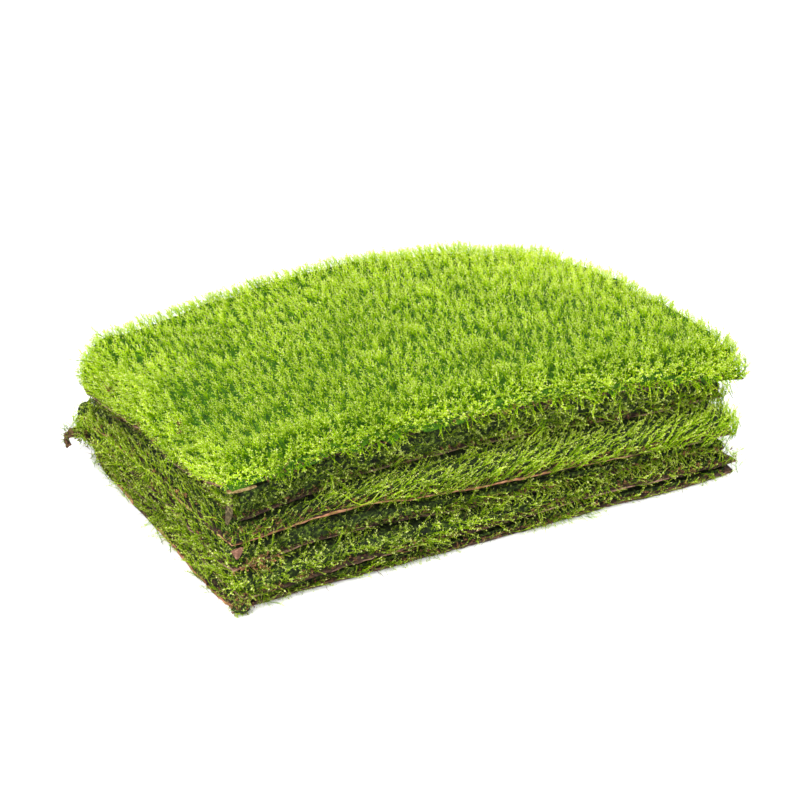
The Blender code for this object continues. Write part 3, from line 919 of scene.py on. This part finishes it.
def plant_side(number, node, mesh, above, templates, material, rng):
    """The shoots of a sheet's sides, and of its top where no mat lies over it.

    Gives back their places: the points, the ways out and along the side, and the heights of its underside.
    """
    look = SIDES[number - 1]

    def exposed(point, normal):
        if normal[2] < -0.75:
            return False
        if normal[2] < 0.5:
            return True
        if number == 1:
            return False
        start = Vector(point) + Vector((0, 0, 0.1 * MM))
        hit, _, _, _ = above.ray_cast(start, Vector(UP), COVER_REACH)
        return hit is None

    points, _ = scattered(mesh, TOP_SIDE_SPACING if number == 1 else SIDE_SPACING, exposed, rng)
    out = outward_from(points)
    low, high = layer_heights(points, mesh_tree(mesh))
    short = out[:, 0] ** 2
    gap = mix(look["gap"], short) * (1 + 0.9 * field(points, 20 * MM, 50 + number)) * MM
    # under is 1 in that gap: the shoots there are set back, and their tint is lowered as painted shade
    # under the mat above
    under = between(gap - (high - points[:, 2]), 0, MM)
    far = ((out[:, 0] > 0.5) & (points[:, 1] > RIGHT_SIDE_START)) | (out[:, 1] > 0.5)
    kept = ~far | (rng.uniform(0, 1, len(points)) < FAR_SHARE)
    rows = (points, out, low, high, short, far, under)
    points, out, low, high, short, far, under = (row[kept] for row in rows)
    points = points + out * reach_of(out, look)[:, None]
    count = len(points)
    along = np.cross(UP, out)
    part_up = between(points[:, 2], low, high)
    face_turn = -out[:, 1] + 1.1 * out[:, 0]
    slant = look["slant"] * face_turn * (1 + 0.8 * field(points, 35 * MM, number))
    upward = mix(look["upward"], part_up)
    outward = look["outward"] * (1 - (0.2 if number == 1 else 0.45) * short)
    ways = out * outward[:, None] + UP * upward[:, None] + along * slant[:, None]
    ways = unit(ways + jitter(rng, 0.15, count))
    length = (points[:, 2] - low + 1.5 * MM) / np.maximum(ways[:, 2], 0.2)
    scales = np.clip(length / SHOOT_LENGTH, 0.35, 1.1) * rng.uniform(0.85, 1.1, count)
    scales *= np.where(far, FAR_SCALE, 1)
    feet = points - ways * (scales * SHOOT_LENGTH)[:, None]
    feet += ways * (rng.normal(0, 0.6, count) * MM)[:, None]
    tufts = field(points, 9 * MM, 40 + number)
    feet += out * (1.3 * tufts * MM - SET_BACK * under)[:, None]
    # Tints: the sheet's value with noise; paler on the tufts that stand out and darker on the sunken ones,
    # as painted light and shade
    tints = mix(look["fresh"], short) + 0.25 * field(points, 24 * MM, 4) + 0.3 * tufts
    # Paler towards the top of the sheet, and darker in the gap under the mat above, as painted shade under
    # that mat
    tints += 0.3 * (part_up - 0.6) + rng.normal(0, 0.1, count) - 0.35 * under
    tints += RIGHT_TINT_RISE * points[:, 0] / HALF_X
    plant(f"moss_side_{number}", templates, feet, ways, scales, tints, rng, material, node)
    return points, out, along, low


def hide_mat(number, node, places, templates, material, rng):
    """Short shoots that droop over the edge of the mat under a sheet."""
    points, out, along, low = places
    look = SIDES[number - 1]
    near = np.flatnonzero(points[:, 2] - low < FRINGE_HEIGHT)
    if number < 3:
        by_strip = (points[near, 0] < STRIP_END) & (points[near, 1] < -0.9 * HALF_Y)
        near = near[~by_strip]
    on_left, on_right, on_short = look["hidden"]
    on_long = np.interp(points[near, 0], (-50 * MM, 50 * MM), (on_left, on_right))
    share = mix((on_long, on_short), out[near, 0] ** 2)
    near = near[0.5 + 0.9 * field(points[near], 25 * MM, 30 + number) < share]
    far = (out[near, 0] > 0.5) | (out[near, 1] > 0.5)
    near = np.concatenate([near, near[~far]])
    count = len(near)
    drop = rng.uniform(0.1, 1.0, count)
    ways = unit(out[near] * 0.6 - UP * drop[:, None] + along[near] * rng.normal(0, 0.45, (count, 1)))
    scales = rng.uniform(0.4, 0.7, count) * (1.25 if number == 1 else 1)
    feet = points[near] - out[near] * (2.5 * MM) + jitter(rng, 0.8 * MM, count)
    feet[:, 2] = low[near] + rng.uniform(0.5, 4, count) * MM
    tints = mix(look["fresh"], out[near, 0] ** 2) - 0.02 + rng.normal(0, 0.12, count)
    tints += RIGHT_TINT_RISE * points[near, 0] / HALF_X
    plant(f"moss_fringe_{number}", templates, feet, ways, scales, tints, rng,
          material, node)


def sprinkle_soil(number, node, places, shreds, fibres, material, rng):
    """Crumbs of soil along the edge of a mat, and root threads that hang out of it."""
    points, out, along, low = places
    crumbly = number == CRUMBLY_MAT
    near = np.repeat(np.flatnonzero(points[:, 2] - low < CRUMB_HEIGHT), 2)
    share = mix((0.6 if crumbly else 0.42, 0.16), out[near, 0] ** 2)
    near = near[rng.uniform(0, 1, len(near)) < share]
    count = len(near)
    feet = points[near] - out[near] * rng.uniform(0.2, 3.5, (count, 1)) * MM
    feet += along[near] * rng.uniform(-1.8, 1.8, (count, 1)) * MM
    feet[:, 2] = low[near] + (rng.uniform(-0.4, 2.8, count) + (1.0 if crumbly else 0)) * MM
    tints = 0.35 + 0.4 * field(feet, 18 * MM, 8) + rng.normal(0, 0.2, count)
    scales = rng.uniform(0.6, 1.6, count)
    ways = unit(jitter(rng, 1, count))
    plant(f"soil_shreds_{number}", shreds, feet, ways, scales, tints, rng, material, node)
    some = rng.choice(count, count // 7, replace=False)
    near = near[some]
    ways = out[near] * 0.5 + along[near] * rng.normal(0, 1, (len(some), 1))
    ways = unit(ways + UP * rng.normal(0, 0.3, (len(some), 1)))
    scales = rng.uniform(0.7, 1.2, len(some))
    plant(f"root_threads_{number}", fibres, feet[some] - out[near] * MM, ways, scales, tints[some], rng,
          material, node)


# Details


def loose_shoots(node, all_places, templates, material, rng):
    """Long shoots that stand out of the sides: the ones of the photograph, and a few on every side."""
    listed = [(np.array(foot) * MM, np.array(way), *look) for foot, way, *look in LOOSE_SHOOTS]
    for foot, way, length, tint in listed * LOOSE_COPIES:
        listed.append((foot + rng.normal(0, 1.2 * MM, 3), way + rng.normal(0, 0.16, 3),
                       length * rng.uniform(0.5, 0.9), tint - 0.1))
    points, out, along, _ = (np.concatenate(rows) for rows in zip(*all_places[:SHEETS - 1]))
    for index in rng.choice(len(points), STRAY_COUNT, replace=False):
        slant = (-out[index, 1] + out[index, 0]) * rng.uniform(0.2, 1.0)
        way = out[index] * 0.45 + along[index] * slant + UP * rng.uniform(-0.5, 0.8)
        foot = points[index] - out[index] * 2 * MM
        listed.append((foot, way, rng.uniform(0.8, 1.3), rng.uniform(0.4, 0.9)))
    feet, ways, scales, tints = (np.array(rows, float) for rows in zip(*listed))
    plant("loose_shoots", templates, feet, unit(ways), scales, tints, rng, material, node)


def stalk(node, material):
    """The bare stalk that sags along the long side."""
    template = Template()
    stops = [np.array(stop) * MM for stop in STALK]
    add_stem(template, stops, np.linspace(0.65, 0.9, len(stops)), STALK_RADIUS)
    points, triangles, uvs = template.arrays()
    uvs[:, 0] += 0.75
    finish_piece(mesh_object("bare_stalk", points, triangles, uvs), material, node)


def litter(node, shreds, dead, material, rng):
    """Dead brown bits among the leaves."""
    feet = []
    tints = []
    for centre, spread, count, tint in LITTER:
        feet.append((np.array(centre) + np.clip(jitter(rng, 1, count), -2, 2) * spread) * MM)
        tints.append(tint + rng.normal(0, 0.2, count))
    feet = np.concatenate(feet)
    tints = np.concatenate(tints)
    ways = unit(jitter(rng, 1, len(feet)))
    scales = rng.uniform(0.6, 1.5, len(feet))
    plant("litter_shreds", shreds, feet, ways, scales, tints, rng, material, node)
    some = rng.choice(len(feet), len(feet) // 3, replace=False)
    ways = unit(jitter(rng, 1, len(some)) + (0, -0.6, 0.2))
    scales = rng.uniform(0.25, 0.5, len(some))
    plant("dead_shoots", dead, feet[some], ways, scales, tints[some], rng, material, node)


def corner_tufts(node, templates, material, bed, rng):
    """Mossy lumps that bulge out of the two left corners."""
    bm = bmesh.new()
    for centre, radii, _, _ in LUMPS:
        made = bmesh.ops.create_icosphere(bm, subdivisions=3, radius=1)
        for vert in made["verts"]:
            vert.co *= 1 + 0.35 * noise.noise(vert.co * 2)
            vert.co = (Vector(centre) + vert.co * Vector(radii)) * MM
            vert.co.z = max(vert.co.z, 0.2 * MM)
    lumps = object_from(bm, "corner_lumps")
    finish_piece(lumps, bed, node)

    def exposed(point, normal):
        return normal[0] < 0.8

    points, normals = scattered(lumps.data, LUMP_SPACING, exposed, rng)
    count = len(points)
    centres, _, leans, tints = (np.array(rows) for rows in zip(*LUMPS))
    nearest = np.argmin(np.linalg.norm(points[:, None] - (centres * MM)[None], axis=2), axis=1)
    ways = unit(normals * 0.8 + leans[nearest] + jitter(rng, 0.25, count))
    scales = rng.uniform(0.42, 0.72, count)
    tints = tints[nearest] + rng.normal(0, 0.15, count)
    feet = points - ways * (scales * SHOOT_LENGTH * 0.55)[:, None]
    plant("corner_tufts", templates, feet, ways, scales, tints, rng, material, node)


def rough_copy(name, node, lump, depth, squeeze, move):
    """A copy of a solid with finer faces and a lumpy surface. squeeze scales it about its middle."""
    bm = bmesh.new()
    bm.from_mesh(node.data)
    bmesh.ops.remove_doubles(bm, verts=bm.verts, dist=WELD)
    bmesh.ops.subdivide_edges(bm, edges=bm.edges[:], cuts=2, use_grid_fill=True)
    bmesh.ops.triangulate(bm, faces=bm.faces[:])
    bm.normal_update()
    middle = sum((vert.co for vert in bm.verts), Vector()) / len(bm.verts)
    for vert in bm.verts:
        vert.co += vert.normal * noise.noise(vert.co / lump) * depth
    for vert in bm.verts:
        vert.co = middle + Vector(squeeze) * (vert.co - middle) + Vector(move) * MM
    return object_from(bm, name)


def debris(nodes):
    """The leaf and the bits of bark, in the places of their solids."""
    for name, source, slot, squeeze, move, depth, stops in DEBRIS:
        piece = rough_copy(name, nodes[source], DEBRIS_LUMP, depth * MM, squeeze, move)
        finish_piece(piece, mottled_material(name, stops, DEBRIS_LUMP, 0.9, 0.3 * MM), nodes[source])


def root_end(node, shoots, fibres, moss, soil, rng):
    """The torn root end at the far left corner, with fibres and a tuft of moss on it."""
    piece = rough_copy("torn_root", node, ROOT_LUMP, ROOT_DEPTH, (1, 1, 1), (0, 0, 0))
    material = mottled_material("torn_root", ROOT_BROWN, 2.5 * MM, 0.95, 0.5 * MM)
    finish_piece(piece, material, node)

    points, normals = scattered(node.data, ROOT_SPACING, lambda point, normal: True, rng)
    count = len(points)
    ways = unit(normals + jitter(rng, 0.5, count) + (-0.3, 0.3, -0.3))
    tints = 0.55 + rng.normal(0, 0.25, count)
    plant("torn_root_threads", fibres, points, ways, rng.uniform(0.25, 0.5, count), tints, rng,
          soil, node)

    upper = points[normals[:, 2] > -0.1]
    feet = np.concatenate([upper, upper]) + (0, 0, 0.5 * MM)
    count = len(feet)
    ways = unit(np.array([-0.45, 0.1, 0.55]) + jitter(rng, 0.45, count))
    scales = rng.uniform(0.3, 0.6, count)
    tints = 0.55 + rng.normal(0, 0.15, count)
    plant("torn_root_moss", shoots, feet, ways, scales, tints, rng, moss, node)


# Scene


def main():
    """Everything but the view, the light and the stage."""
    rng = np.random.default_rng(SEED)
    nodes = frame["nodes"]
    top_moss = shoot_material("top_leaves", TOP_DULL_AND_SHADE, TOP_FRESH_AND_LIT, 0.35)
    moss = shoot_material("side_leaves", SIDE_DULL_AND_SHADE, SIDE_FRESH_AND_LIT, 0.3)
    soil = shoot_material("soil", DARK_SOIL, PALE_SOIL, 0.0)
    top_bed_and_shade = mottled_material("top_bed_and_shade", TOP_BED_AND_SHADE, 2.5 * MM, 0.95, 1 * MM)
    side_bed_and_shade = mottled_material("side_bed_and_shade", SIDE_BED_AND_SHADE, 2.2 * MM, 0.95, 1 * MM)
    soil_top = mottled_material("soil_top", SOIL_TOP, 2.5 * MM, 0.95, 0.6 * MM)
    shoots = {}
    for kind, (count, *look) in SHOOT_KINDS.items():
        shoots[kind] = [shoot_template(rng, *look) for _ in range(count)]
    shreds = [shred_template(rng) for _ in range(SHRED_KINDS)]
    fibres = [fibre_template(rng) for _ in range(FIBRE_KINDS)]
    above = None
    all_places = []
    for number in range(1, SHEETS + 1):
        node = nodes[f"moss_{number}"]
        mat = nodes[f"root_mat_{number}"]
        is_top = number == 1
        mesh = swollen(node) if is_top else node.data
        leaves = top_moss if is_top else moss
        finish_piece(moss_bed(number, mesh), top_bed_and_shade if is_top else side_bed_and_shade, node)
        if is_top:
            plant_top(node, mesh, shoots["plumes"], shoots["bushes"], leaves, rng)
        templates = shoots[SIDE_KINDS.get(number, "curls")]
        places = plant_side(number, node, mesh, above, templates, leaves, rng)
        all_places.append(places)
        hide_mat(number, node, places, shoots["droopers"], leaves, rng)
        sprinkle_soil(number, mat, places, shreds, fibres, soil, rng)
        frayed_mat(number, mat, soil_top)
        above = mesh_tree(mat.data)
    loose_shoots(nodes["moss_3"], all_places, shoots["streamers"], moss, rng)
    stalk(nodes["moss_3"], moss)
    litter(nodes["root_mat_4"], shreds, shoots["droopers"], soil, rng)
    corner_tufts(nodes["moss_6"], shoots["bushes"], moss, side_bed_and_shade, rng)
    debris(nodes)
    root_end(nodes["root_curl"], shoots["droopers"], fibres, moss, soil, rng)


# View and light

LIGHT_TARGET = (0, 0, 0.05)


def add_camera():
    data = bpy.data.cameras.new("camera")
    data.lens = LENS_MM
    data.sensor_width = SENSOR_MM
    camera = add_object("camera", data)
    azimuth = math.radians(VIEW_AZIMUTH)
    elevation = math.radians(VIEW_ELEVATION)
    back = Vector((
        math.sin(azimuth) * math.cos(elevation),
        -math.cos(azimuth) * math.cos(elevation),
        math.sin(elevation),
    ))
    camera.location = Vector(VIEW_TARGET) + back * VIEW_DISTANCE
    camera.rotation_euler = (-back).to_track_quat("-Z", "Y").to_euler()
    bpy.context.scene.camera = camera


def add_light(name, place, size, power):
    """A round soft light that faces the block."""
    data = bpy.data.lights.new(name, "AREA")
    data.shape = "DISK"
    data.size = size
    data.energy = power
    light = add_object(name, data)
    light.location = place
    light.rotation_euler = (Vector(LIGHT_TARGET) - Vector(place)).to_track_quat("-Z", "Y").to_euler()


def add_stage():
    """A white floor and an even white sky."""
    bpy.ops.mesh.primitive_plane_add(size=12, location=(0, 0, -0.0005))
    floor = bpy.context.active_object
    floor.name = "floor"
    material, _, _, shader = new_material("white_floor")
    shader.inputs["Base Color"].default_value = (0.93, 0.93, 0.93, 1)
    shader.inputs["Roughness"].default_value = 0.9
    floor.data.materials.append(material)
    world = bpy.data.worlds.new("studio")
    bpy.context.scene.world = world
    world.use_nodes = True
    sky = world.node_tree.nodes["Background"]
    sky.inputs["Color"].default_value = (1, 1, 1, 1)
    sky.inputs["Strength"].default_value = 1.3
    bpy.context.scene.view_settings.view_transform = "Standard"


add_camera()
main()
add_light("key", (-1.1, -0.8, 1.3), 1.0, 32)
add_light("fill", (1.0, -0.8, 1.0), 1.2, 10)
add_stage()
